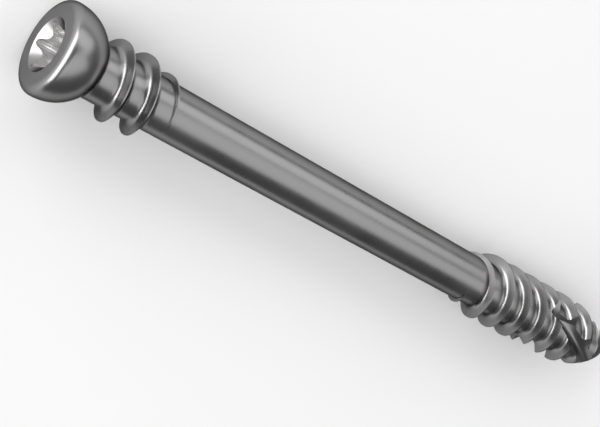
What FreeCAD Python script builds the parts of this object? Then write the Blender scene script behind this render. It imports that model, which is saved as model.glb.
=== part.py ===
# Bone compression screw, turned from one bar.
#
# The screw is modelled on its own axis: the flat face of the head is the plane z = 0
# and the tip points along +Z. Azimuths run from +X towards +Y. Its placement then lays
# it on the floor as it comes to rest, with the head at -X and the tip at +X.
# All lengths are in millimetres and all angles in degrees.

import FreeCAD
import Part
import PartDesign
import Sketcher
import math
import os
from FreeCAD import Placement, Rotation, Vector

NODE = "compression_screw"

doc = FreeCAD.newDocument("bone_compression_screw")


# Sizes

SIZES = [
    # name, value, what it is
    ("screw_length", 53.0, "flat face of the head to the end of the tip"),
    ("head_diameter", 6.1, "ball of the head"),
    ("head_centre_depth", 0.66, "middle of the ball behind the flat face"),
    ("rim_round", 0.5, "round between the flat face and the ball"),
    ("neck_round", 0.25, "round between the ball and the shank"),
    ("shank_diameter", 3.5, "plain shank, also the root of both threads"),
    ("thread_diameter", 5.0, "crest of both threads"),
    ("crest_width", 0.1, "flat along the top of a ridge"),
    ("crest_spacing", 1.9, "from one ridge to the next, along the axis"),
    ("steep_angle", 12.0, "flank that faces the head, from square to the axis"),
    ("sloping_angle", 32.0, "flank that faces the tip, from square to the axis"),
    ("steep_round", 0.37, "hollow round at the foot of the steep flank"),
    ("sloping_round", 0.35, "hollow round at the foot of the sloping flank"),
    ("foot_sink", 0.02, "how far the hollow rounds end below the shank surface"),
    ("foot_overlap", 0.15, "how deep a ridge is set into the shank"),
    ("joint_turns", 0.01, "turns by which a rising ridge runs into the full one"),
    ("head_thread_start", 4.23, "first crest of full height at the head end"),
    ("head_thread_azimuth", 270.0, "azimuth of that crest"),
    ("head_thread_turns", 1.5, "turns of full height"),
    ("head_thread_rise", 0.5, "turns over which the ridge rises"),
    ("head_thread_fall", 0.9, "turns over which the ridge sinks away"),
    ("tip_thread_starts", 2, "ridges side by side"),
    ("tip_thread_start", 38.7, "first crest of full height at the tip end"),
    ("tip_thread_azimuth", 60.6, "azimuth of that crest"),
    ("tip_thread_rise", 0.6, "turns over which the ridges rise"),
    ("tip_length", 5.4, "rounded tip, measured along the axis"),
    ("tip_end_diameter", 1.0, "small flat at the very end"),
    ("flute_count", 3, "cutting flutes round the tip"),
    ("flute_lead", 27.0, "advance of a flute in one turn"),
    ("flute_radius", 2.53, "hollow of a flute, in a plane through the axis"),
    ("flute_floor", 1.4, "deepest line of a flute, from the axis"),
    ("flute_start", 46.2, "where a flute reaches its full depth"),
    ("flute_azimuth", -27.0, "azimuth of one flute at that place"),
    ("flute_rise_angle", 27.0, "slope at which a flute runs out towards the head"),
    ("mouth_diameter", 3.52, "mouth of the socket in the flat face"),
    ("mouth_angle", 45.0, "slope of the mouth from the axis"),
    ("lobe_circle", 3.35, "circle over the lobes of the socket"),
    ("ridge_circle", 2.42, "circle inside the ridges of the socket"),
    ("lobe_round", 0.27, "round of a lobe"),
    ("lobe_azimuth", -4.0, "azimuth of the first lobe"),
    ("socket_depth", 2.2, "floor of the socket below the flat face"),
    ("drill_diameter", 2.3, "drilled hole that the socket was pressed into"),
    ("drill_angle", 60.0, "slope of the drill point from the axis"),
    ("roll_angle", -10.0, "turn of the lying screw about its own axis"),
]

# Straight cuts that make up each round, short enough to stay within 0.02 mm of it.
RIM_CUTS = 4
NECK_CUTS = 3
STEEP_CUTS = 3
SLOPING_CUTS = 2
TIP_CUTS = 5

# Worked out from the sizes above.
FORMULAS = [
    ("head_radius", "=head_diameter / 2"),
    ("shank_radius", "=shank_diameter / 2"),
    ("crest_radius", "=thread_diameter / 2"),
    ("ridge_height", "=crest_radius - shank_radius"),
    ("sink", "=ridge_height + 0.05"),
    ("climb", "=sink - 0.005"),
    ("head_thread_length", "=head_thread_turns * crest_spacing"),
    ("rise_angle", "=atan(ridge_height / (head_thread_rise * crest_spacing))"),
    ("rise_height", "=climb / tan(rise_angle)"),
    ("rise_start", "=head_thread_start + joint_turns * crest_spacing - rise_height"),
    ("rise_turns", "=joint_turns - rise_height / crest_spacing"),
    ("rise_azimuth", "=mod(head_thread_azimuth + 360 * rise_turns + 3600; 360)"),
    ("fall_angle", "=atan(ridge_height / (head_thread_fall * crest_spacing))"),
    ("fall_height", "=climb / tan(fall_angle)"),
    ("fall_turns", "=head_thread_turns - joint_turns + fall_height / crest_spacing"),
    ("fall_start", "=head_thread_start + fall_turns * crest_spacing"),
    ("fall_azimuth", "=mod(head_thread_azimuth + 360 * fall_turns; 360)"),
    ("tip_lead", "=crest_spacing * tip_thread_starts"),
    ("tip_thread_length", "=screw_length - tip_thread_start"),
    ("tip_rise_angle", "=atan(ridge_height / (tip_thread_rise * tip_lead))"),
    ("tip_rise_height", "=climb / tan(tip_rise_angle)"),
    ("tip_rise_turns", "=joint_turns - tip_rise_height / tip_lead"),
    ("tip_rise_start", "=tip_thread_start + tip_rise_turns * tip_lead"),
    ("tip_rise_azimuth", "=mod(tip_thread_azimuth + 360 * tip_rise_turns + 3600; 360)"),
    ("tip_start", "=screw_length - tip_length"),
    ("tip_end_radius", "=tip_end_diameter / 2"),
    ("flute_centre", "=flute_floor + flute_radius"),
    ("flute_length", "=screw_length - flute_start + 1"),
    ("flute_rise_height", "=(crest_radius - flute_floor + 0.1) / tan(flute_rise_angle)"),
    ("lie_sine", "=(head_radius - crest_radius) / (tip_start - head_centre_depth)"),
    ("lie_tilt", "=asin(lie_sine)"),
    ("lie_z", "=head_radius + head_centre_depth * lie_sine"),
    ("lie_x", "=-screw_length / 2"),
    ("mouth_radius", "=mouth_diameter / 2"),
    ("drill_radius", "=drill_diameter / 2"),
    ("lobe_centre", "=lobe_circle / 2 - lobe_round"),
    (
        "ridge_round",
        "=(lobe_centre ^ 2 + (ridge_circle / 2) ^ 2 - lobe_centre * ridge_circle * cos(30)"
        " - lobe_round ^ 2) / (2 * lobe_round + 2 * lobe_centre * cos(30) - ridge_circle)",
    ),
]


def write_sheet():
    sheet = doc.addObject("Spreadsheet::Sheet", "Sizes")
    row = 1
    for name, value, meaning in SIZES:
        sheet.set("A%d" % row, meaning)
        sheet.set("B%d" % row, repr(value))
        sheet.setAlias("B%d" % row, name)
        row += 1
    for name, formula in FORMULAS:
        sheet.set("B%d" % row, formula)
        sheet.setAlias("B%d" % row, name)
        row += 1
    doc.recompute()
    return sheet


sheet = write_sheet()


def size(name):
    value = getattr(sheet, name)
    return float(getattr(value, "Value", value))


# Sketches

body = doc.addObject("PartDesign::Body", NODE)
body.Label = NODE


def origin_item(role):
    for item in body.Origin.OriginFeatures:
        if item.Role == role:
            return item
    raise ValueError(role)


def new_sketch(label, role, azimuth=None):
    """A sketch on an origin plane, turned about the screw's axis to an azimuth."""
    sketch = body.newObject("Sketcher::SketchObject", label)
    sketch.AttachmentSupport = (origin_item(role), [""])
    sketch.MapMode = "FlatFace"
    if azimuth:
        axis = Vector(0, 1, 0)
        sketch.AttachmentOffset = Placement(Vector(), Rotation(axis, size(azimuth)))
        sketch.setExpression("AttachmentOffset.Rotation.Angle", "Sizes." + azimuth)
    sketch.Visibility = False
    return sketch


def constrain(sketch, kind, places, expression=None, value=None):
    """Add one constraint, and bind it to the sizes where it has an expression."""
    if expression is None:
        sketch.addConstraint(Sketcher.Constraint(kind, *places))
        return
    index = sketch.addConstraint(Sketcher.Constraint(kind, *places, value))
    sketch.setExpression("Constraints[%d]" % index, expression)


START, END, CENTRE = 1, 2, 3
ORIGIN = (-1, 1)
H_AXIS, V_AXIS = -1, -2


def add_line(sketch, start, end):
    a = Vector(start[0], start[1], 0)
    b = Vector(end[0], end[1], 0)
    return sketch.addGeometry(Part.LineSegment(a, b))


def add_arc(sketch, centre, radius, first, last):
    """An arc that runs anticlockwise between two angles in degrees."""
    circle = Part.Circle(Vector(centre[0], centre[1], 0), Vector(0, 0, 1), radius)
    return sketch.addGeometry(Part.ArcOfCircle(circle, math.radians(first), math.radians(last)))


def cut_round(sketch, arc, count):
    """Replace an arc by straight cuts of equal length. The arc stays as their guide."""
    guide = sketch.Geometry[arc]
    step = (guide.LastParameter - guide.FirstParameter) / count
    points = [guide.value(guide.FirstParameter + i * step) for i in range(count + 1)]
    cuts = []
    for i in range(count):
        cuts.append(add_line(sketch, points[i], points[i + 1]))
    constrain(sketch, "Coincident", (cuts[0], START, arc, START))
    for i in range(1, count):
        constrain(sketch, "Coincident", (cuts[i - 1], END, cuts[i], START))
        constrain(sketch, "PointOnObject", (cuts[i], START, arc))
        constrain(sketch, "Equal", (cuts[i - 1], cuts[i]))
    constrain(sketch, "Coincident", (cuts[-1], END, arc, END))
    sketch.toggleConstruction(arc)


def set_point(sketch, item, point, across, along, values):
    """Fix a point at a distance from the axis and along it."""
    constrain(sketch, "DistanceX", (*ORIGIN, item, point), across, values[0])
    constrain(sketch, "DistanceY", (*ORIGIN, item, point), along, values[1])


def core_sketch():
    """Half section of the head and shank, without thread."""
    sketch = new_sketch("core_section", "XZ_Plane")
    ball = size("head_radius")
    depth = size("head_centre_depth")
    shank = size("shank_radius")
    length = size("screw_length")
    rim = size("rim_round")
    neck = size("neck_round")

    # The rim round lies inside the ball, and the neck round outside it.
    rim_x = math.sqrt((ball - rim) ** 2 - (depth - rim) ** 2)
    rim_angle = math.degrees(math.atan2(rim - depth, rim_x))
    neck_x = shank + neck
    neck_y = depth + math.sqrt((ball + neck) ** 2 - neck_x ** 2)
    neck_angle = math.degrees(math.atan2(neck_y - depth, neck_x))

    top = add_line(sketch, (0, 0), (rim_x, 0))
    edge = add_arc(sketch, (rim_x, rim), rim, -90, rim_angle)
    head = add_arc(sketch, (0, depth), ball, rim_angle, neck_angle)
    foot = add_arc(sketch, (neck_x, neck_y), neck, 180, 180 + neck_angle)
    side = add_line(sketch, (shank, neck_y), (shank, length))
    end = add_line(sketch, (shank, length), (0, length))
    axis = add_line(sketch, (0, length), (0, 0))

    constrain(sketch, "Tangent", (top, END, edge, START))
    constrain(sketch, "Tangent", (edge, END, head, START))
    constrain(sketch, "Tangent", (head, END, foot, END))
    constrain(sketch, "Tangent", (foot, START, side, START))
    constrain(sketch, "Coincident", (side, END, end, START))
    constrain(sketch, "Coincident", (end, END, axis, START))
    constrain(sketch, "Coincident", (axis, END, top, START))
    constrain(sketch, "Coincident", (top, START, *ORIGIN))
    constrain(sketch, "Horizontal", (top,))
    constrain(sketch, "Horizontal", (end,))
    constrain(sketch, "Vertical", (side,))
    constrain(sketch, "Vertical", (axis,))
    constrain(sketch, "PointOnObject", (head, CENTRE, V_AXIS))
    constrain(sketch, "Radius", (head,), "Sizes.head_radius", ball)
    constrain(sketch, "Radius", (edge,), "Sizes.rim_round", rim)
    constrain(sketch, "Radius", (foot,), "Sizes.neck_round", neck)
    constrain(sketch, "DistanceY", (*ORIGIN, head, CENTRE), "Sizes.head_centre_depth", depth)
    set_point(
        sketch, side, END, "Sizes.shank_radius", "Sizes.screw_length", (shank, length)
    )
    cut_round(sketch, edge, RIM_CUTS)
    cut_round(sketch, foot, NECK_CUTS)
    return sketch


def ridge_sketch(label, azimuth, along, sunk=False):
    """Section of a thread ridge at one place along the axis, at full height or sunk."""
    sketch = new_sketch(label, "XZ_Plane", azimuth)
    lower = size("sink") if sunk else 0
    less = " - Sizes.sink" if sunk else ""
    crest = size("crest_radius") - lower
    shank = size("shank_radius") - lower
    place = size(along)
    half = size("crest_width") / 2
    low = shank - size("foot_sink")
    base = shank - size("foot_overlap")
    steep = math.radians(size("steep_angle"))
    sloping = math.radians(size("sloping_angle"))
    steep_round = size("steep_round")
    sloping_round = size("sloping_round")

    # Where the straight flanks meet the foot line, and where the rounds begin and end.
    steep_foot = place - half - (crest - low) * math.tan(steep)
    sloping_foot = place + half + (crest - low) * math.tan(sloping)
    steep_reach = steep_round * math.tan((math.pi / 2 - steep) / 2)
    sloping_reach = sloping_round * math.tan((math.pi / 2 - sloping) / 2)
    steep_top = (
        low + steep_reach * math.cos(steep),
        steep_foot + steep_reach * math.sin(steep),
    )
    sloping_top = (
        low + sloping_reach * math.cos(sloping),
        sloping_foot - sloping_reach * math.sin(sloping),
    )
    steep_end = steep_foot - steep_reach
    sloping_end = sloping_foot + sloping_reach

    top = add_line(sketch, (crest, place - half), (crest, place + half))
    down = add_line(sketch, (crest, place + half), sloping_top)
    centre = (low + sloping_round, sloping_end)
    down_round = add_arc(sketch, centre, sloping_round, 180, 270 - math.degrees(sloping))
    down_side = add_line(sketch, (low, sloping_end), (base, sloping_end))
    bottom = add_line(sketch, (base, sloping_end), (base, steep_end))
    up_side = add_line(sketch, (base, steep_end), (low, steep_end))
    centre = (low + steep_round, steep_end)
    up_round = add_arc(sketch, centre, steep_round, 90 + math.degrees(steep), 180)
    up = add_line(sketch, steep_top, (crest, place - half))

    constrain(sketch, "Coincident", (top, END, down, START))
    constrain(sketch, "Tangent", (down, END, down_round, END))
    constrain(sketch, "Perpendicular", (down_round, START, down_side, START))
    constrain(sketch, "Coincident", (down_side, END, bottom, START))
    constrain(sketch, "Coincident", (bottom, END, up_side, START))
    constrain(sketch, "Perpendicular", (up_side, END, up_round, END))
    constrain(sketch, "Tangent", (up_round, START, up, START))
    constrain(sketch, "Coincident", (up, END, top, START))
    constrain(sketch, "Vertical", (top,))
    constrain(sketch, "Vertical", (bottom,))
    constrain(sketch, "Horizontal", (down_side,))
    constrain(sketch, "Horizontal", (up_side,))
    set_point(
        sketch, top, START, "Sizes.crest_radius" + less,
        "Sizes.%s - Sizes.crest_width / 2" % along, (crest, place - half),
    )
    constrain(sketch, "DistanceY", (top, START, top, END), "Sizes.crest_width", 2 * half)
    constrain(sketch, "Angle", (H_AXIS, START, up, START), "Sizes.steep_angle", steep)
    constrain(
        sketch, "Angle", (H_AXIS, START, down, START), "180 - Sizes.sloping_angle",
        math.pi - sloping,
    )
    constrain(sketch, "Radius", (up_round,), "Sizes.steep_round", steep_round)
    constrain(sketch, "Radius", (down_round,), "Sizes.sloping_round", sloping_round)
    foot = "Sizes.shank_radius - Sizes.foot_sink" + less
    constrain(sketch, "DistanceX", (*ORIGIN, up_side, END), foot, low)
    constrain(sketch, "DistanceX", (*ORIGIN, down_side, START), foot, low)
    constrain(
        sketch, "DistanceX", (*ORIGIN, bottom, START),
        "Sizes.shank_radius - Sizes.foot_overlap" + less, base,
    )
    cut_round(sketch, up_round, STEEP_CUTS)
    cut_round(sketch, down_round, SLOPING_CUTS)
    return sketch


def flute_sketch():
    """Section of a flute: a circle that hollows the tip in a plane through the axis."""
    sketch = new_sketch("flute_section", "XZ_Plane", "flute_azimuth")
    centre = (size("flute_centre"), size("flute_start"))
    radius = size("flute_radius")
    circle = Part.Circle(Vector(centre[0], centre[1], 0), Vector(0, 0, 1), radius)
    item = sketch.addGeometry(circle)
    set_point(sketch, item, CENTRE, "Sizes.flute_centre", "Sizes.flute_start", centre)
    constrain(sketch, "Radius", (item,), "Sizes.flute_radius", radius)
    return sketch


def tip_sketch():
    """What is turned away outside the rounded tip."""
    sketch = new_sketch("tip_section", "XZ_Plane")
    crest = size("crest_radius")
    small = size("tip_end_radius")
    start = size("tip_start")
    end = size("screw_length")
    far = crest + 1
    drop = crest - small
    radius = ((end - start) ** 2 + drop ** 2) / (2 * drop)
    last = math.degrees(math.asin((end - start) / radius))
    curve = add_arc(sketch, (crest - radius, start), radius, 0, last)
    under = add_line(sketch, (small, end), (small, end + 3))
    back = add_line(sketch, (small, end + 3), (far, end + 3))
    side = add_line(sketch, (far, end + 3), (far, start))
    edge = add_line(sketch, (far, start), (crest, start))
    constrain(sketch, "Coincident", (curve, END, under, START))
    constrain(sketch, "Coincident", (under, END, back, START))
    constrain(sketch, "Coincident", (back, END, side, START))
    constrain(sketch, "Coincident", (side, END, edge, START))
    constrain(sketch, "Perpendicular", (edge, END, curve, START))
    constrain(sketch, "Vertical", (under,))
    constrain(sketch, "Horizontal", (back,))
    constrain(sketch, "Vertical", (side,))
    constrain(sketch, "Horizontal", (edge,))
    set_point(
        sketch, curve, START, "Sizes.crest_radius", "Sizes.tip_start", (crest, start)
    )
    set_point(
        sketch, curve, END, "Sizes.tip_end_radius", "Sizes.screw_length", (small, end)
    )
    constrain(sketch, "DistanceY", (under, START, under, END), "3 mm", 3)
    constrain(sketch, "DistanceX", (curve, START, edge, START), "1 mm", 1)
    cut_round(sketch, curve, TIP_CUTS)
    return sketch


def mouth_sketch():
    """Half section of the socket's sloping mouth and of the drilled hole below it."""
    sketch = new_sketch("mouth_section", "XZ_Plane")
    mouth = size("mouth_radius")
    drill = size("drill_radius")
    depth = size("socket_depth")
    slope = math.radians(size("mouth_angle"))
    point = math.radians(size("drill_angle"))
    step = (mouth - drill) / math.tan(slope)
    bottom = depth + drill / math.tan(point)
    corners = [(0, 0), (mouth, 0), (drill, step), (drill, depth), (0, bottom)]
    lines = []
    for i in range(5):
        lines.append(add_line(sketch, corners[i], corners[(i + 1) % 5]))
    for i in range(5):
        constrain(sketch, "Coincident", (lines[i], END, lines[(i + 1) % 5], START))
    top, cone, wall, floor, axis = lines
    constrain(sketch, "Coincident", (top, START, *ORIGIN))
    constrain(sketch, "Horizontal", (top,))
    constrain(sketch, "Vertical", (wall,))
    constrain(sketch, "Vertical", (axis,))
    constrain(sketch, "DistanceX", (*ORIGIN, top, END), "Sizes.mouth_radius", mouth)
    constrain(sketch, "DistanceX", (*ORIGIN, wall, START), "Sizes.drill_radius", drill)
    constrain(sketch, "DistanceY", (*ORIGIN, wall, END), "Sizes.socket_depth", depth)
    constrain(sketch, "Angle", (V_AXIS, START, cone, START), "Sizes.mouth_angle", slope)
    return sketch


def socket_sketch():
    """Six round lobes, with six hollow ridges between them that touch them smoothly."""
    sketch = new_sketch("socket_outline", "XY_Plane")
    centre = size("lobe_centre")
    lobe_round = size("lobe_round")
    ridge_round = size("ridge_round")
    turn = size("lobe_azimuth")
    apart = size("ridge_circle") / 2 + ridge_round

    # Slope of the line between the centres of a lobe and the next ridge.
    reach_x = apart * math.cos(math.pi / 6) - centre
    reach_y = apart * math.sin(math.pi / 6)
    touch = math.degrees(math.atan2(reach_y, reach_x))

    lobes = []
    ridges = []
    for i in range(6):
        middle = turn + 60 * i
        angle = math.radians(middle)
        place = (centre * math.cos(angle), centre * math.sin(angle))
        lobes.append(add_arc(sketch, place, lobe_round, middle - touch, middle + touch))
        angle = math.radians(middle + 30)
        place = (apart * math.cos(angle), apart * math.sin(angle))
        first = middle + 180 + 60 - touch
        ridges.append(add_arc(sketch, place, ridge_round, first, middle + 180 + touch))
    for i in range(6):
        constrain(sketch, "Tangent", (lobes[i], END, ridges[i], END))
        constrain(sketch, "Tangent", (ridges[i], START, lobes[(i + 1) % 6], START))
        across = "Sizes.lobe_centre * cos(Sizes.lobe_azimuth + %d)" % (60 * i)
        along = "Sizes.lobe_centre * sin(Sizes.lobe_azimuth + %d)" % (60 * i)
        angle = math.radians(turn + 60 * i)
        place = (centre * math.cos(angle), centre * math.sin(angle))
        set_point(sketch, lobes[i], CENTRE, across, along, place)
        constrain(sketch, "Radius", (lobes[i],), "Sizes.lobe_round", lobe_round)
        constrain(sketch, "Radius", (ridges[i],), "Sizes.ridge_round", ridge_round)
    return sketch


# Features

def finish_feature(feature):
    feature.Refine = False
    body.Tip = feature
    doc.recompute()
    return feature


def turn_profile(kind, label, sketch):
    """A full turn of a section about the screw's axis, added or cut away."""
    feature = body.newObject("PartDesign::" + kind, label)
    feature.Profile = sketch
    feature.ReferenceAxis = (sketch, ["V_Axis"])
    feature.Angle = 360
    return finish_feature(feature)


def helix(kind, label, sketch, pitch, height, angle=None, backwards=False):
    """A right-handed sweep about the axis, along a cylinder or along a cone."""
    feature = body.newObject("PartDesign::" + kind, label)
    feature.Profile = sketch
    feature.ReferenceAxis = (sketch, ["V_Axis"])
    feature.Mode = "pitch-height-angle"
    feature.Pitch = size(pitch)
    feature.setExpression("Pitch", "Sizes." + pitch)
    feature.Height = size(height)
    feature.setExpression("Height", "Sizes." + height)
    if angle:
        feature.Angle = size(angle)
        feature.setExpression("Angle", "Sizes." + angle)
    feature.Reversed = backwards
    return finish_feature(feature)


def repeat_round(label, originals, count):
    """The same features again, evenly spaced round the axis."""
    feature = body.newObject("PartDesign::PolarPattern", label)
    feature.Originals = originals
    feature.Axis = (origin_item("Z_Axis"), [""])
    feature.Angle = 360
    feature.Occurrences = int(size(count))
    feature.setExpression("Occurrences", "Sizes." + count)
    return finish_feature(feature)


# Head and shank, one turned shape.
core = turn_profile("Revolution", "core", core_sketch())

# Thread under the head: it rises out of the shank, runs level and sinks away again.
rise = ridge_sketch("head_rise_section", "rise_azimuth", "rise_start", sunk=True)
level = ridge_sketch("head_thread_section", "head_thread_azimuth", "head_thread_start")
fall = ridge_sketch("head_fall_section", "fall_azimuth", "fall_start", sunk=True)
helix("AdditiveHelix", "head_rise", rise, "crest_spacing", "rise_height", "rise_angle")
helix("AdditiveHelix", "head_thread", level, "crest_spacing", "head_thread_length")
helix("AdditiveHelix", "head_fall", fall, "crest_spacing", "fall_height", "fall_angle", True)

# Thread at the tip: two ridges side by side, so it advances twice as far in a turn
# as the thread under the head. That difference draws the bone together.
rise = ridge_sketch("tip_rise_section", "tip_rise_azimuth", "tip_rise_start", sunk=True)
level = ridge_sketch("tip_thread_section", "tip_thread_azimuth", "tip_thread_start")
rising = helix(
    "AdditiveHelix", "tip_rise", rise, "tip_lead", "tip_rise_height", "tip_rise_angle"
)
running = helix("AdditiveHelix", "tip_thread", level, "tip_lead", "tip_thread_length")
repeat_round("tip_starts", [rising, running], "tip_thread_starts")

# Rounded tip, turned over the core and the ridges together.
turn_profile("Groove", "rounded_tip", tip_sketch())

# Cutting flutes, milled along a steep helix and run out towards the head.
flute = flute_sketch()
cut = helix("SubtractiveHelix", "flute", flute, "flute_lead", "flute_length")
run_out = helix(
    "SubtractiveHelix", "flute_run_out", flute, "flute_lead", "flute_rise_height",
    "flute_rise_angle", True,
)
repeat_round("flutes", [cut, run_out], "flute_count")

# Socket: sloping mouth and drilled hole first, then the lobes.
turn_profile("Groove", "mouth", mouth_sketch())
before = body.Shape.Volume
socket = body.newObject("PartDesign::Pocket", "socket")
socket.Profile = socket_sketch()
socket.Length = size("socket_depth")
socket.setExpression("Length", "Sizes.socket_depth")
socket.Reversed = True
finish_feature(socket)
if body.Shape.Volume > before - 1:
    raise RuntimeError("the socket is not cut into the head")


# Placement

# The screw lies on the ball of its head and on the last full crest at the tip.
body.setExpression(
    "Placement",
    "placement(vector(Sizes.lie_x; 0; Sizes.lie_z);"
    " rotation(vector(0; 1; 0); Sizes.lie_tilt)"
    " * rotation(vector(1; 0; 1); 180)"
    " * rotation(vector(0; 0; 1); Sizes.roll_angle))",
)
doc.recompute()


# Checks and export

for item in doc.Objects:
    bad = [state for state in item.State if state in ("Invalid", "Error")]
    if bad:
        raise RuntimeError(item.Name + " " + " ".join(bad))
shape = body.Shape
if shape.isNull() or not shape.isValid():
    raise RuntimeError(NODE + " has no valid shape")
if len(shape.Solids) != 1:
    raise RuntimeError(NODE + " is not one solid")

os.makedirs("parts", exist_ok=True)
shape.exportStep("parts/" + NODE + ".step")
print(NODE, "volume", round(shape.Volume, 2), "faces", len(shape.Faces), shape.BoundBox)
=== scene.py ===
# %% [markdown]
# # A bone compression screw
#
# This notebook dresses one metal bone screw that lies on a pale table. The real one is
# turned from a bar: a ball-shaped head with a six-lobed socket, a short thread under
# it, a plain shank, and a faster thread with three cutting flutes at the rounded tip.
#
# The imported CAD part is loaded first. It gives the size and the place of the screw.

# %% Load the frame
import math
import bpy
import numpy as np
from mathutils import Matrix, Quaternion, Vector


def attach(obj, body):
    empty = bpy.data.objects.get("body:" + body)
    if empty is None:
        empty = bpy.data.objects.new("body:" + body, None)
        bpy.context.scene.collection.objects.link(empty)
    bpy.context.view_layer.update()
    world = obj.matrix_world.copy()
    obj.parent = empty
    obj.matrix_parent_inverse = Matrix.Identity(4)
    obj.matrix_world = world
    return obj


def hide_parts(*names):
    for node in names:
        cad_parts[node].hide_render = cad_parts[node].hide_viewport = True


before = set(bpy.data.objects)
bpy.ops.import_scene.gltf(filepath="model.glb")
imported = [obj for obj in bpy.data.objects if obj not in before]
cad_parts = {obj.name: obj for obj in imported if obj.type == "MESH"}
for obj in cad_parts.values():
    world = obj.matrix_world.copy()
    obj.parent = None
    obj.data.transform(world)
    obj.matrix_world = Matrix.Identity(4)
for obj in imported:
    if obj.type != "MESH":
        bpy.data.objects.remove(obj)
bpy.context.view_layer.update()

# %% [markdown]
# ## Sizes
#
# Every size is in millimetres on the screw's own axis: the flat face of the head is at
# z = 0 and the tip points along +Z. It is easier to model a turned part standing on its
# axis and to lay it down at the end, because each step is then a spin about Z.

# %% Sizes of the screw
LENGTH = 53.0
BALL_RADIUS = 3.05
BALL_DEPTH = 0.66
RIM_ROUND = 0.5
NECK_ROUND = 0.25
SHANK_RADIUS = 1.75
CREST_RADIUS = 2.5
CREST_WIDTH = 0.1
SPACING = 1.9
STEEP_SLOPE = math.radians(12)
SLOPING_SLOPE = math.radians(32)
STEEP_ROUND = 0.37
SLOPING_ROUND = 0.35
TIP_LENGTH = 5.4
TIP_END_RADIUS = 0.5
HEIGHT = CREST_RADIUS - SHANK_RADIUS
COLUMNS = 96
print("ridge height", HEIGHT, "mm, columns round the axis", COLUMNS)

# %% [markdown]
# ## How the screw lies
#
# It rests on the ball of its head and on the last full crest of the tip thread, so the
# axis leans down a little towards the tip. A screw also rolls until it finds a stable
# place, and this one stops with its threads turned a little about the axis. Turned by
# eye, it would float or sink a little, so the lean is worked out from the two radii. One
# matrix turns the upright screw in millimetres into the lying screw in metres.

# %% Laying matrix
ROLL = math.radians(-10)
METRES_PER_MM = 0.001
lean = math.asin((BALL_RADIUS - CREST_RADIUS) / (LENGTH - TIP_LENGTH - BALL_DEPTH))
lie = Matrix.Translation((-LENGTH / 2, 0, BALL_RADIUS + BALL_DEPTH * math.sin(lean)))
lie = lie @ Matrix.Rotation(lean, 4, "Y") @ Matrix.Rotation(math.pi, 4, (1, 0, 1))
lie = lie @ Matrix.Rotation(ROLL, 4, "Z")
to_table = Matrix.Scale(METRES_PER_MM, 4) @ lie
print("lean in degrees:", round(math.degrees(lean), 3))

# %% [markdown]
# ## Camera
#
# The camera looks down on the screw from beyond the head, through a long lens. It stands
# only 84 mm from the head, so the head looks clearly larger than the tip. A camera can be
# aimed at a point, but this one is also rolled. So its place and its three directions are
# given on the screw's own axis, in millimetres, and are then laid down with the screw.

# %% Camera
SENSOR_MM = 36
LENS_MM = 86.27

cam_data = bpy.data.cameras.new("camera")
cam = bpy.data.objects.new("camera", cam_data)
bpy.context.scene.collection.objects.link(cam)
bpy.context.scene.camera = cam
cam_data.sensor_width = SENSOR_MM
cam_data.lens = LENS_MM
cam_data.clip_start = 0.001
cam_data.clip_end = 10

cam_right = Vector((0.5050, -0.4852, 0.7138))
cam_up = Vector((-0.2963, -0.8742, -0.3846))
cam_back = Vector((0.8106, -0.0173, -0.5853))
cam_place = Vector((76.76, 0.0, -34.02))
axes = Matrix((cam_right, cam_up, cam_back)).transposed().to_4x4()
pose = lie @ Matrix.Translation(cam_place) @ axes
pose.translation *= METRES_PER_MM
cam.matrix_world = pose
print("camera at", [round(v, 4) for v in pose.translation])

# %% [markdown]
# ## Helpers
#
# Blender's operators act on what is selected, so every step starts by deselecting all.
# The other small functions open an object in edit mode, turn a colour code into the
# linear values that a shader takes, and add a shader node with its settings.

# %% Helpers for objects and materials
def deselect():
    """Leave edit mode and select nothing."""
    if bpy.context.mode != "OBJECT":
        bpy.ops.object.mode_set(mode="OBJECT")
    bpy.ops.object.select_all(action="DESELECT")


def edit(obj, select="SELECT"):
    """Open one object in edit mode with everything or nothing selected."""
    deselect()
    bpy.context.view_layer.objects.active = obj
    obj.select_set(True)
    bpy.ops.object.mode_set(mode="EDIT")
    bpy.ops.mesh.select_all(action=select)


def close():
    """Leave edit mode."""
    bpy.ops.object.mode_set(mode="OBJECT")


def linear(code):
    """sRGB hex to linear RGBA."""
    values = []
    for i in (1, 3, 5):
        c = int(code[i:i + 2], 16) / 255
        values.append(c / 12.92 if c <= 0.04045 else ((c + 0.055) / 1.055) ** 2.4)
    return (*values, 1)


def add_node(tree, kind, settings=None, inputs=None):
    """Add a shader node, set its options, and set or link its sockets."""
    node = tree.nodes.new(kind)
    for name, value in (settings or {}).items():
        setattr(node, name, value)
    for name, value in (inputs or {}).items():
        if isinstance(value, bpy.types.NodeSocket):
            tree.links.new(value, node.inputs[name])
        else:
            node.inputs[name].default_value = value
    return node


def new_material(name):
    """An empty material and its node tree."""
    material = bpy.data.materials.new(name)
    material.use_nodes = True
    material.node_tree.nodes.clear()
    return material, material.node_tree


# %% [markdown]
# ## Table
#
# The table is a plain pale plane, level with the lowest point of the screw, as a sheet of
# white card would be. Wood or cloth would have a grain that is large beside so small a
# screw. The card is nearly matt, so it keeps the soft shadow and throws white light up
# onto the metal.

# %% Table
TABLE_SIZE = 4
deselect()
bpy.ops.mesh.primitive_plane_add(size=TABLE_SIZE)
table = bpy.context.object
table.name = "table"

paper, tree = new_material("matt_white_table")
surface = add_node(tree, "ShaderNodeBsdfPrincipled", inputs={
    "Base Color": linear("#f2f2f2"),
    "Roughness": 0.9,
    "Specular IOR Level": 0.2,
})
add_node(tree, "ShaderNodeOutputMaterial", inputs={"Surface": surface.outputs[0]})
table.data.materials.append(paper)
print("table", tuple(table.dimensions))

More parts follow.
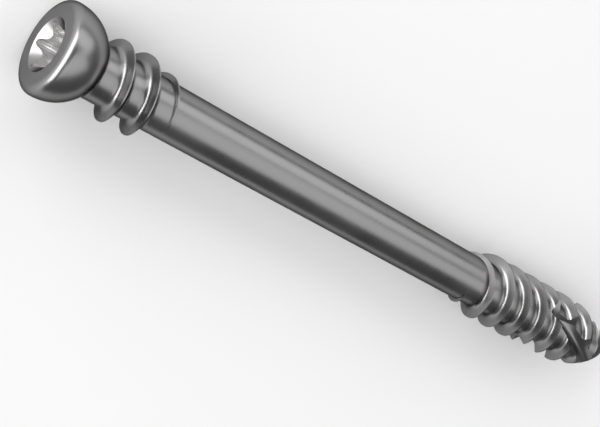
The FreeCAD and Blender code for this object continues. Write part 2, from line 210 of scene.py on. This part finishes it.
# %% [markdown]
# ## Light
#
# Bare metal has hardly any colour of its own and shows what stands around it. So the
# lamps are placed by what each of them draws on the screw, in a plain grey room:
#
# - a panel high above, beyond the tip, draws the light band along the shank;
# - a panel beside the screw softens the band's edge and lights the side of the head;
# - a low bright panel in front of the head draws the crescent on its rim and the thin
#   bright lines at the feet of the threads.
#
# The panels are a metre away, so the table is lit evenly.

# %% Light panels and room
DISTANCE = 1.0
MIDDLE = Vector((0, 0, 0.003))


def panel(name, azimuth, height_angle, turn, width, height, radiance):
    """A soft panel that faces the screw. Its power follows from its radiance and its area."""
    data = bpy.data.lights.new(name, "AREA")
    data.shape = "RECTANGLE"
    data.size = width
    data.size_y = height
    data.energy = radiance * math.pi * width * height
    lamp = bpy.data.objects.new(name, data)
    bpy.context.scene.collection.objects.link(lamp)
    a = math.radians(azimuth)
    e = math.radians(height_angle)
    direction = Vector((math.cos(e) * math.cos(a), math.cos(e) * math.sin(a), math.sin(e)))
    lamp.location = MIDDLE + DISTANCE * direction
    facing = direction.to_track_quat("Z", "Y")
    lamp.rotation_euler = (facing @ Quaternion((0, 0, 1), math.radians(turn))).to_euler()
    return lamp


# Degrees round the table and up from it, degrees turned, metres wide and high, radiance.
panels = [
    panel("panel_above", -18, 71, -35, 1.68, 0.84, 1.1),
    panel("panel_beside", 84, 30, 0, 1.8, 0.66, 1.4),
    panel("panel_before_the_head", 180, 20, 0, 2.0, 0.68, 5.2),
]

world = bpy.data.worlds.new("grey_room")
bpy.context.scene.world = world
world.use_nodes = True
world.node_tree.nodes.clear()
room = add_node(world.node_tree, "ShaderNodeBackground", inputs={
    "Color": linear("#666666"),
    "Strength": 1.0,
})
add_node(world.node_tree, "ShaderNodeOutputWorld", inputs={"Surface": room.outputs[0]})
bpy.context.scene.view_settings.view_transform = "Standard"
print("panels:", [tuple(round(v, 3) for v in lamp.location) for lamp in panels])

# %% [markdown]
# ## Drawing and spinning a section
#
# A turned shape is half of its section, spun about the axis. Balls, cones and cylinders
# could be stacked instead, but each joint would still need its small round. The section
# is drawn in the plane y = 0 by extruding one point from corner to corner, as with a
# pencil.

# %% Section drawing
SEED_SIZE = 0.01


def draw_section(name, points):
    """A line through points (radius, height): a tiny plane merged to a point and extruded."""
    deselect()
    start = (points[0][0], 0, points[0][1])
    bpy.ops.mesh.primitive_plane_add(size=SEED_SIZE, location=start)
    obj = bpy.context.object
    obj.name = name
    bpy.ops.object.transform_apply(location=True, rotation=True, scale=True)
    edit(obj)
    bpy.ops.mesh.merge(type="CENTER")
    close()
    edit(obj)
    for a, b in zip(points, points[1:]):
        step = (b[0] - a[0], 0, b[1] - a[1])
        bpy.ops.mesh.extrude_region_move(TRANSFORM_OT_translate={"value": step})
    close()
    return obj


def arc_points(centre, radius, first, last, count):
    """Points on an arc, angles in degrees from +radius towards +height."""
    points = []
    for i in range(count + 1):
        a = math.radians(first + (last - first) * i / count)
        points.append((centre[0] + radius * math.cos(a), centre[1] + radius * math.sin(a)))
    return points


# %% [markdown]
# ## Head
#
# The head is part of a ball, so that it can tilt in its seat, and it has a flat face. A
# small round joins the face and the ball, and another one joins the ball and the shank.
# A sphere could be cut flat and bevelled, but one spun section gives each round its own
# radius. Two extra rings on the face keep it flat when it is shaded smooth.

# %% Head section and spin
FACE_RING = 1.0
EDGE_RING = 0.06
RIM_CUTS = 10
BALL_CUTS = 22
NECK_CUTS = 6
MERGE = 0.0005


def spin_round(obj):
    """Spin a section about the axis and close its seam and its poles."""
    edit(obj)
    bpy.ops.mesh.spin(steps=COLUMNS, angle=2 * math.pi, center=(0, 0, 0), axis=(0, 0, 1))
    bpy.ops.mesh.remove_doubles(threshold=MERGE)


rim_r = math.sqrt((BALL_RADIUS - RIM_ROUND) ** 2 - (BALL_DEPTH - RIM_ROUND) ** 2)
rim_end = math.degrees(math.atan2(RIM_ROUND - BALL_DEPTH, rim_r))
neck_r = SHANK_RADIUS + NECK_ROUND
neck_z = BALL_DEPTH + math.sqrt((BALL_RADIUS + NECK_ROUND) ** 2 - neck_r ** 2)
ball_end = math.degrees(math.atan2(neck_z - BALL_DEPTH, neck_r))

head_line = [(0, 0), (FACE_RING, 0), (rim_r - EDGE_RING, 0)]
head_line += arc_points((rim_r, RIM_ROUND), RIM_ROUND, -90, rim_end, RIM_CUTS)
head_line += arc_points((0, BALL_DEPTH), BALL_RADIUS, rim_end, ball_end, BALL_CUTS)[1:]
head_line += arc_points((neck_r, neck_z), NECK_ROUND, 180 + ball_end, 180, NECK_CUTS)[1:]

head = draw_section("head", head_line)
spin_round(head)
close()
print("head", len(head.data.vertices), "vertices, neck at", round(neck_z, 3), "mm")

# %% [markdown]
# ## Thread ridge
#
# Each ridge has a narrow flat crest, a steep flank that faces the head and a sloping
# flank that faces the tip. Hollow rounds join both flanks to the shank. A Boolean could
# cut the thread from a thicker bar, as a lathe does, but it would leave thin slivers where
# the thread runs out. So the section of one pitch is spun upwards by a Screw modifier.
# Where a thread begins or ends the ridge sinks into the shank, and at the tip it is turned
# down with the rounded nose, so its points then slide along the same flanks to their new
# heights.

# %% Flanks as functions of height
QUARTER_TURN = math.pi / 2


def steep_side(h):
    """How far the steep flank lies from the crest's middle at height h, towards the head."""
    foot = CREST_WIDTH / 2 + HEIGHT * math.tan(STEEP_SLOPE)
    reach = STEEP_ROUND * math.tan((QUARTER_TURN - STEEP_SLOPE) / 2)
    if h < reach * math.cos(STEEP_SLOPE):
        return foot + reach - math.sqrt(STEEP_ROUND ** 2 - (STEEP_ROUND - h) ** 2)
    return CREST_WIDTH / 2 + (HEIGHT - h) * math.tan(STEEP_SLOPE)


def sloping_side(h):
    """How far the sloping flank lies from the crest's middle at height h, towards the tip."""
    foot = CREST_WIDTH / 2 + HEIGHT * math.tan(SLOPING_SLOPE)
    reach = SLOPING_ROUND * math.tan((QUARTER_TURN - SLOPING_SLOPE) / 2)
    if h < reach * math.cos(SLOPING_SLOPE):
        return foot + reach - math.sqrt(SLOPING_ROUND ** 2 - (SLOPING_ROUND - h) ** 2)
    return CREST_WIDTH / 2 + (HEIGHT - h) * math.tan(SLOPING_SLOPE)


def round_shares(rounding, slope, cuts, flank_cuts):
    """Heights of the points up one side, as shares of the ridge height."""
    sweep = QUARTER_TURN - slope
    heights = []
    for i in range(cuts + 1):
        heights.append(rounding * (1 - math.cos(sweep * i / cuts)))
    last = heights[-1]
    for i in range(1, flank_cuts + 1):
        heights.append(last + (HEIGHT - last) * i / flank_cuts)
    return [h / HEIGHT for h in heights]


# The last two numbers are the cuts over the round and over the straight flank.
STEEP_SHARES = round_shares(STEEP_ROUND, STEEP_SLOPE, 7, 3)
SLOPING_SHARES = round_shares(SLOPING_ROUND, SLOPING_SLOPE, 5, 4)
ROOT_CUTS = 3
print("points on a ridge:", len(STEEP_SHARES) + len(SLOPING_SHARES) + 1)

# %% Rounded nose of the tip
NOSE_START = LENGTH - TIP_LENGTH
nose_drop = CREST_RADIUS - TIP_END_RADIUS
NOSE_RADIUS = (TIP_LENGTH ** 2 + nose_drop ** 2) / (2 * nose_drop)


def nose(z):
    """Radius that the rounded nose leaves at height z."""
    if z <= NOSE_START:
        return CREST_RADIUS
    z = min(z, LENGTH)
    return CREST_RADIUS - NOSE_RADIUS + math.sqrt(NOSE_RADIUS ** 2 - (z - NOSE_START) ** 2)


core_drop = CREST_RADIUS - SHANK_RADIUS
NOSE_CORE = NOSE_START + math.sqrt(NOSE_RADIUS ** 2 - (NOSE_RADIUS - core_drop) ** 2)
print("nose radius", round(NOSE_RADIUS, 2), "reaches the core at", round(NOSE_CORE, 2))

# %% One ridge as a list of points
SIDES = {"steep": -1, "low": -1, "crest": 0, "sloping": 1, "high": 1}
TRIES = 12


def ridge_roles(offset):
    """Parts of a section over one pitch: (kind, share, offset of the ridge)."""
    roles = [("low", i / ROOT_CUTS, offset) for i in range(ROOT_CUTS)]
    roles += [("steep", share, offset) for share in STEEP_SHARES]
    roles += [("crest", 0.5, offset)]
    roles += [("sloping", share, offset) for share in reversed(SLOPING_SHARES)]
    roles += [("high", i / ROOT_CUTS, offset) for i in range(1, ROOT_CUTS)]
    return roles


def place_point(role, crest_z, sink):
    """Radius and height of one point of the section, for a ridge sunk by some depth."""
    kind, share, _ = role
    side = SIDES[kind]
    width = steep_side if side < 0 else sloping_side
    top = HEIGHT - sink

    def limit(side_width, sign):
        """Height above the shank at which the nose cuts this side of the ridge."""
        reach = top
        for _ in range(TRIES):
            z = crest_z + sign * side_width(min(sink + reach, HEIGHT))
            reach = max(0.0, min(top, nose(z) - SHANK_RADIUS))
        return reach

    if kind == "crest":
        low = crest_z - steep_side(min(sink + limit(steep_side, -1), HEIGHT))
        high = crest_z + sloping_side(min(sink + limit(sloping_side, 1), HEIGHT))
        z = (low + high) / 2
        return min(SHANK_RADIUS + top, nose(z)), z
    if kind in ("steep", "sloping"):
        h = share * limit(width, side)
        z = crest_z + side * width(sink + h)
        return min(SHANK_RADIUS + h, nose(z)), z
    foot = side * width(sink)
    edge = side * SPACING / 2
    if kind == "low":
        z = crest_z + (edge + (foot - edge) * share)
    else:
        z = crest_z + (foot + (edge - foot) * share)
    return min(SHANK_RADIUS, nose(z)), z


# %% Threading with the Screw modifier
CLEAR_OF_NOSE = 20
THREAD_MERGE = 0.00005


def thread(name, starts, first_crest, turns, sink_at, low_end, high_end):
    """A tube of core and ridges, flat at both ends, with its crest at azimuth 0 at first_crest."""
    roles = []
    for i in range(starts):
        roles += ridge_roles(i * SPACING)
    roles.append(("low", 0, starts * SPACING))
    line = []
    for role in roles:
        radius, z = place_point(role, first_crest + role[2] - CLEAR_OF_NOSE, 0)
        line.append((radius, z + CLEAR_OF_NOSE))
    obj = draw_section(name, line)
    screw = obj.modifiers.new("screw", "SCREW")
    screw.axis = "Z"
    screw.angle = 2 * math.pi
    screw.screw_offset = starts * SPACING
    screw.iterations = turns
    screw.steps = COLUMNS
    screw.render_steps = COLUMNS
    screw.use_merge_vertices = False
    bpy.ops.object.modifier_apply(modifier="screw")

    count = len(roles)
    rise = starts * SPACING / COLUMNS
    places = np.empty(len(obj.data.vertices) * 3)
    obj.data.vertices.foreach_get("co", places)
    places = places.reshape(-1, 3)
    for index in range(len(places)):
        step, item = divmod(index, count)
        crest_z = first_crest + roles[item][2] + rise * step
        radius, z = place_point(roles[item], crest_z, sink_at(crest_z))
        if z < low_end or z > high_end:
            z = min(max(z, low_end), high_end)
            radius = SHANK_RADIUS
        angle = 2 * math.pi * (step % COLUMNS) / COLUMNS
        places[index] = (radius * math.cos(angle), radius * math.sin(angle), z)
    obj.data.vertices.foreach_set("co", places.reshape(-1))
    edit(obj)
    bpy.ops.mesh.remove_doubles(threshold=THREAD_MERGE)
    close()
    print(name, len(obj.data.vertices), "vertices, from", low_end, "to", round(high_end, 2))
    return obj


# %% [markdown]
# The thread under the head has one ridge. It rises within half a turn behind the head,
# and after a turn and a half it sinks away more slowly. The tip thread has two ridges,
# half a turn apart, so it advances twice as far in a turn: that is what draws the bone
# together.

# %% Thread under the head
HEAD_FIRST_CREST = 0.905
HEAD_TURNS = 5
HEAD_FULL_FROM = 4.23
HEAD_RISE = 0.95
HEAD_FULL_TO = 7.08
HEAD_FALL = 1.71
HEAD_THREAD_END = 9.2


def head_sink(z):
    """How deep the crest at height z is sunk."""
    rise = (HEAD_FULL_FROM - z) / HEAD_RISE
    fall = (z - HEAD_FULL_TO) / HEAD_FALL
    return HEIGHT * min(max(rise, fall, 0), 1)


head_thread = thread(
    "head_thread", 1, HEAD_FIRST_CREST, HEAD_TURNS, head_sink, neck_z, HEAD_THREAD_END
)

# %% Thread at the tip
TIP_FIRST_CREST = 30.46
TIP_TURNS = 6
TIP_FULL_FROM = 38.7
TIP_RISE = 2.28
TIP_THREAD_START = 35.8


def tip_sink(z):
    """How deep the crest at height z is sunk."""
    return HEIGHT * min(max((TIP_FULL_FROM - z) / TIP_RISE, 0), 1)


tip_thread = thread(
    "tip_thread", 2, TIP_FIRST_CREST, TIP_TURNS, tip_sink, TIP_THREAD_START, NOSE_CORE
)

# %% [markdown]
# ## Shank and nose
#
# The shank is a plain cylinder between the two threads, and the nose is the spun end of
# the rounded tip. Pieces that only overlap would do for a picture, but the flutes can be
# cut cleanly only from one closed skin. So all pieces have the same columns round the
# axis, and their rings meet point by point and merge.

# %% Shank and nose sections
SHANK_RINGS = 12
NOSE_RINGS = 14
END_RING = 0.6

shank_line = []
for i in range(SHANK_RINGS + 1):
    z = HEAD_THREAD_END + (TIP_THREAD_START - HEAD_THREAD_END) * i / SHANK_RINGS
    shank_line.append((SHANK_RADIUS, z))
nose_line = []
for i in range(NOSE_RINGS + 1):
    z = NOSE_CORE + (LENGTH - NOSE_CORE) * i / NOSE_RINGS
    nose_line.append((nose(z), z))
nose_line += [(TIP_END_RADIUS * END_RING, LENGTH), (0, LENGTH)]

turned = [head, head_thread, tip_thread]
for name, line in (("shank", shank_line), ("nose", nose_line)):
    piece = draw_section(name, line)
    spin_round(piece)
    close()
    turned.append(piece)
    print(name, "with", len(piece.data.vertices), "vertices")

# %% Join into one skin
JOIN_MERGE = 0.0001

deselect()
for piece in turned:
    piece.select_set(True)
bpy.context.view_layer.objects.active = head
bpy.ops.object.join()
screw = head
screw.name = "screw"
edit(screw)
bpy.ops.mesh.remove_doubles(threshold=JOIN_MERGE)
bpy.ops.mesh.normals_make_consistent(inside=False)
bpy.ops.mesh.select_all(action="DESELECT")
bpy.ops.mesh.select_non_manifold()
close()
open_points = sum(v.select for v in screw.data.vertices)
print("screw", len(screw.data.polygons), "faces, open points:", open_points)

# %% [markdown]
# ## Flutes
#
# Three flutes are milled into the tip along a steep right-handed helix. They cut the bone
# and carry its chips away. Pushing the points of the skin inwards would blur their sharp
# edges, so a Boolean takes a cutter away from the screw, as milling does. The tube-shaped
# cutter is spun by a Screw modifier, and its head end swings outwards, as the milling
# cutter is lifted out.

# %% Cutter for one flute
FLUTES = 3
FLUTE_LEAD = 27.0
FLUTE_RADIUS = 2.53
FLUTE_FLOOR = 1.4
FLUTE_CENTRE = FLUTE_FLOOR + FLUTE_RADIUS
FLUTE_START = 46.2
FLUTE_AZIMUTH = -27
FLUTE_LIFT = math.tan(math.radians(27))
RUN_OUT_DEPTH = 1.3
PAST_TIP = 1.0
CUTTER_POINTS = 72
CUTTER_STEPS = 64
flute_low = FLUTE_START - RUN_OUT_DEPTH / FLUTE_LIFT
flute_turns = (LENGTH + PAST_TIP - flute_low) / FLUTE_LEAD
print("each flute starts at", FLUTE_START, "mm and turns", round(flute_turns, 3), "of a turn")


def flute_cutter(azimuth):
    """A closed tube along the flute's helix, which swings outwards at its head end."""
    deselect()
    bpy.ops.mesh.primitive_circle_add(
        vertices=CUTTER_POINTS, radius=FLUTE_RADIUS, fill_type="NOTHING",
        location=(FLUTE_CENTRE, 0, flute_low), rotation=(math.pi / 2, 0, 0),
    )
    cutter = bpy.context.object
    bpy.ops.object.transform_apply(location=True, rotation=True, scale=True)
    spin = cutter.modifiers.new("spin", "SCREW")
    spin.axis = "Z"
    spin.angle = 2 * math.pi * flute_turns
    spin.screw_offset = FLUTE_LEAD * flute_turns
    spin.steps = CUTTER_STEPS
    spin.render_steps = CUTTER_STEPS
    spin.use_merge_vertices = False
    bpy.ops.object.modifier_apply(modifier="spin")
    start = math.radians(azimuth) - 2 * math.pi * (FLUTE_START - flute_low) / FLUTE_LEAD
    for i, vertex in enumerate(cutter.data.vertices):
        step = i // CUTTER_POINTS
        angle = 2 * math.pi * flute_turns * step / CUTTER_STEPS
        middle = flute_low + FLUTE_LEAD * flute_turns * step / CUTTER_STEPS
        lift = max(0.0, FLUTE_START - middle) * FLUTE_LIFT
        radius = math.hypot(vertex.co.x, vertex.co.y) + lift
        vertex.co.x = radius * math.cos(start + angle)
        vertex.co.y = radius * math.sin(start + angle)
    edit(cutter, "DESELECT")
    bpy.ops.mesh.select_non_manifold()
    bpy.ops.mesh.edge_face_add()
    close()
    edit(cutter)
    bpy.ops.mesh.normals_make_consistent(inside=False)
    close()
    return cutter


def cut_away(target, cutter):
    """Boolean difference, applied, and the cutter is removed."""
    deselect()
    bpy.context.view_layer.objects.active = target
    target.select_set(True)
    difference = target.modifiers.new("cut", "BOOLEAN")
    difference.operation = "DIFFERENCE"
    difference.solver = "EXACT"
    difference.object = cutter
    bpy.ops.object.modifier_apply(modifier="cut")
    bpy.data.objects.remove(cutter, do_unlink=True)


# %% Mill the three flutes
for i in range(FLUTES):
    cut_away(screw, flute_cutter(FLUTE_AZIMUTH + 360 / FLUTES * i))
    print("flute", i, len(screw.data.polygons), "faces")

# %% [markdown]
# ## Socket
#
# The driver socket has six round lobes with hollow ridges between them. It could be inset
# into the face, but the lobes don't follow the columns of the head, so it is cut by a
# Boolean too. Its outline is drawn with arcs that meet smoothly, filled and pushed down.
# A cone takes the sharp edge off its mouth, and the drilled hole that it was pressed into
# leaves a pointed floor.

# %% Socket outline
LOBES = 6
LOBE_STEP = 360 // LOBES
HALF_STEP = LOBE_STEP // 2
LOBE_CUTS = 12
HOLLOW_CUTS = 10
LOBE_RADIUS = 1.675
RIDGE_RADIUS = 1.21
LOBE_ROUND = 0.27
LOBE_AZIMUTH = -4
SOCKET_DEPTH = 2.2
lobe_centre = LOBE_RADIUS - LOBE_ROUND
cos30 = math.cos(math.pi / 6)
ridge_round = (
    lobe_centre ** 2 + RIDGE_RADIUS ** 2 - 2 * lobe_centre * RIDGE_RADIUS * cos30
    - LOBE_ROUND ** 2
) / (2 * (LOBE_ROUND + lobe_centre * cos30 - RIDGE_RADIUS))
apart = RIDGE_RADIUS + ridge_round
touch = math.degrees(math.atan2(apart / 2, apart * cos30 - lobe_centre))

outline = []
for i in range(LOBES):
    middle = LOBE_AZIMUTH + LOBE_STEP * i
    a = math.radians(middle)
    centre = (lobe_centre * math.cos(a), lobe_centre * math.sin(a))
    outline += arc_points(centre, LOBE_ROUND, middle - touch, middle + touch, LOBE_CUTS)[:-1]
    a = math.radians(middle + HALF_STEP)
    centre = (apart * math.cos(a), apart * math.sin(a))
    first = middle + 180 + touch
    last = middle + 180 + LOBE_STEP - touch
    outline += arc_points(centre, ridge_round, first, last, HOLLOW_CUTS)[:-1]
print("ridge round", round(ridge_round, 3), "mm,", len(outline), "points")

# %% [markdown]
# The outline is drawn upright as every section is, so it is tipped flat and moved a
# little in front of the face. It is closed, filled and extruded into the cutter.

# %% Cut the lobes
ABOVE_FACE = 1

lobes = draw_section("lobes", outline + [outline[0]])
deselect()
lobes.select_set(True)
bpy.context.view_layer.objects.active = lobes
lobes.rotation_euler = (-math.pi / 2, 0, 0)
bpy.ops.object.transform_apply(location=False, rotation=True, scale=False)
lobes.location = (0, 0, -ABOVE_FACE)
bpy.ops.object.transform_apply(location=True, rotation=False, scale=False)
edit(lobes)
bpy.ops.mesh.remove_doubles(threshold=MERGE)
bpy.ops.mesh.edge_face_add()
depth = (0, 0, SOCKET_DEPTH + ABOVE_FACE)
bpy.ops.mesh.extrude_region_move(TRANSFORM_OT_translate={"value": depth})
bpy.ops.mesh.select_all(action="SELECT")
bpy.ops.mesh.normals_make_consistent(inside=False)
close()
box = [tuple(round(c, 3) for c in corner) for corner in (lobes.bound_box[0], lobes.bound_box[6])]
print("lobe cutter from", box[0], "to", box[1])
cut_away(screw, lobes)

# %% [markdown]
# The cone at the mouth has a slope of 45 degrees, so its radius shrinks as fast as it
# goes down. The drill's point measures 120 degrees across, so its cone slopes by 30
# degrees, whose tangent is 0.577.

# %% Cut the mouth and the drilled hole
MOUTH_RADIUS = 1.76
CONE_END_RADIUS = 1.0
DRILL_RADIUS = 1.15
DRILL_FROM = 0.5
POINT_SLOPE = 0.577
cone_end = MOUTH_RADIUS - CONE_END_RADIUS
drill_end = SOCKET_DEPTH + DRILL_RADIUS * POINT_SLOPE

mouth_line = [(0, -ABOVE_FACE), (MOUTH_RADIUS + ABOVE_FACE, -ABOVE_FACE)]
mouth_line += [(CONE_END_RADIUS, cone_end), (0, cone_end)]
drill_line = [(0, DRILL_FROM), (DRILL_RADIUS, DRILL_FROM)]
drill_line += [(DRILL_RADIUS, SOCKET_DEPTH), (0, drill_end)]
for name, line in (("mouth", mouth_line), ("drill", drill_line)):
    cutter = draw_section(name, line)
    spin_round(cutter)
    bpy.ops.mesh.normals_make_consistent(inside=False)
    close()
    cut_away(screw, cutter)
print("screw with its socket:", len(screw.data.polygons), "faces")

# %% [markdown]
# ## Lay it down
#
# Turning leaves rings round the axis. So each point first keeps a way along the section,
# in millimetres, for the metal to read: its height, and a share of its radius, which
# makes rings on the flat face too. The faces of the socket are noted as well, because
# they are easy to find while the screw stands upright. Then the laying matrix goes into
# the mesh, and the object itself stays unturned at the origin.

# %% Keep the way along the section
ACROSS_SHARE = 0.4
path = screw.data.attributes.new("turning_path", "FLOAT", "POINT")
ways = []
for vertex in screw.data.vertices:
    radius = math.hypot(vertex.co.x, vertex.co.y)
    ways.append(vertex.co.z + ACROSS_SHARE * radius)
path.data.foreach_set("value", ways)
print("way along the section from", round(min(ways), 2), "to", round(max(ways), 2), "mm")

# %% Find the walls and the floor of the socket
SOCKET_REACH = 2.95
WALL_TILT = 0.3
BELOW_CONE = 1
socket_faces = []
for face in screw.data.polygons:
    inside = math.hypot(face.center.x, face.center.y) < SHANK_RADIUS
    wall = abs(face.normal.z) < WALL_TILT and face.center.z < SOCKET_REACH
    floor = BELOW_CONE < face.center.z < SOCKET_REACH
    if inside and (wall or floor):
        socket_faces.append(face.index)
print("faces in the socket:", len(socket_faces))

# %% Lay the screw on the table
REAL_EDGE = math.radians(20)
screw.data.transform(to_table)
screw.data.update()
edit(screw)
bpy.ops.mesh.normals_make_consistent(inside=False)
close()
deselect()
screw.select_set(True)
bpy.context.view_layer.objects.active = screw
bpy.ops.object.shade_smooth_by_angle(angle=REAL_EDGE)
triangles = sum(len(p.vertices) - 2 for p in screw.data.polygons)
print("screw triangles:", triangles)

# %% [markdown]
# ## Metal
#
# Grey anodised titanium alloy: a bare metal whose thin oxide film makes it darker than
# steel and dims it further at glancing angles. It was turned and then polished to a
# satin: faint rings stay round the axis, and soft patches shine a little more or less.
# A painted picture could carry such marks, but noise nodes have no seams and keep their
# real size.

# %% Grey titanium
# The rings are about 0.12 mm apart, coarser than real ones, so that they just show.
MARK_PITCH_MM = 0.12
MARK_DEPTH = 0.0000012
PATCH_SIZE = 0.003

titanium, tree = new_material("grey_anodised_titanium")
way = add_node(tree, "ShaderNodeAttribute", {"attribute_name": "turning_path"})
marks = add_node(tree, "ShaderNodeTexNoise", {"noise_dimensions": "1D"}, {
    "W": way.outputs["Fac"],
    "Scale": 1 / MARK_PITCH_MM,
    "Detail": 2.0,
})
place = add_node(tree, "ShaderNodeTexCoord")
patches = add_node(tree, "ShaderNodeTexNoise", inputs={
    "Vector": place.outputs["Object"],
    "Scale": 1 / PATCH_SIZE,
    "Detail": 3.0,
})
gloss = add_node(tree, "ShaderNodeMapRange", inputs={
    "Value": patches.outputs["Fac"],
    "From Min": 0.3,
    "From Max": 0.7,
    "To Min": 0.26,
    "To Max": 0.33,
})
shade = add_node(tree, "ShaderNodeValToRGB", inputs={"Fac": patches.outputs["Fac"]})
shade.color_ramp.elements[0].position = 0.3
shade.color_ramp.elements[0].color = linear("#8f8e8e")
shade.color_ramp.elements[1].position = 0.7
shade.color_ramp.elements[1].color = linear("#969595")
rings = add_node(tree, "ShaderNodeBump", inputs={
    "Height": marks.outputs["Fac"],
    "Distance": MARK_DEPTH,
})
surface = add_node(tree, "ShaderNodeBsdfPrincipled", inputs={
    "Base Color": shade.outputs["Color"],
    "Metallic": 1.0,
    "Roughness": gloss.outputs["Result"],
    "Specular Tint": linear("#6c6c6b"),
    "Normal": rings.outputs["Normal"],
})
add_node(tree, "ShaderNodeOutputMaterial", inputs={"Surface": surface.outputs[0]})
screw.data.materials.clear()
screw.data.materials.append(titanium)
print("metal:", titanium.name, "with", len(tree.nodes), "nodes")

# %% [markdown]
# A socket is pressed in with a hard punch. Its walls and floor get a lighter copy of the
# metal than the rest: painted light, which lifts the shade of the deep socket so that the
# lobes can be read. The faces were noted above and now take the second material.

# %% Socket walls painted lighter against their shade
walls, tree = new_material("socket_titanium_painted_lighter")
surface = add_node(tree, "ShaderNodeBsdfPrincipled", inputs={
    # Painted light: this lighter base colour stands in for light that the deep socket lacks.
    "Base Color": linear("#e5e4e4"),
    "Metallic": 1.0,
    "Roughness": 0.25,
})
add_node(tree, "ShaderNodeOutputMaterial", inputs={"Surface": surface.outputs[0]})
screw.data.materials.append(walls)
for index in socket_faces:
    screw.data.polygons[index].material_index = 1
print("second metal:", walls.name)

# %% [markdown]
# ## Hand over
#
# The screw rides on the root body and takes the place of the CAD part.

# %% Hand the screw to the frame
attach(screw, "root")
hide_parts("compression_screw")
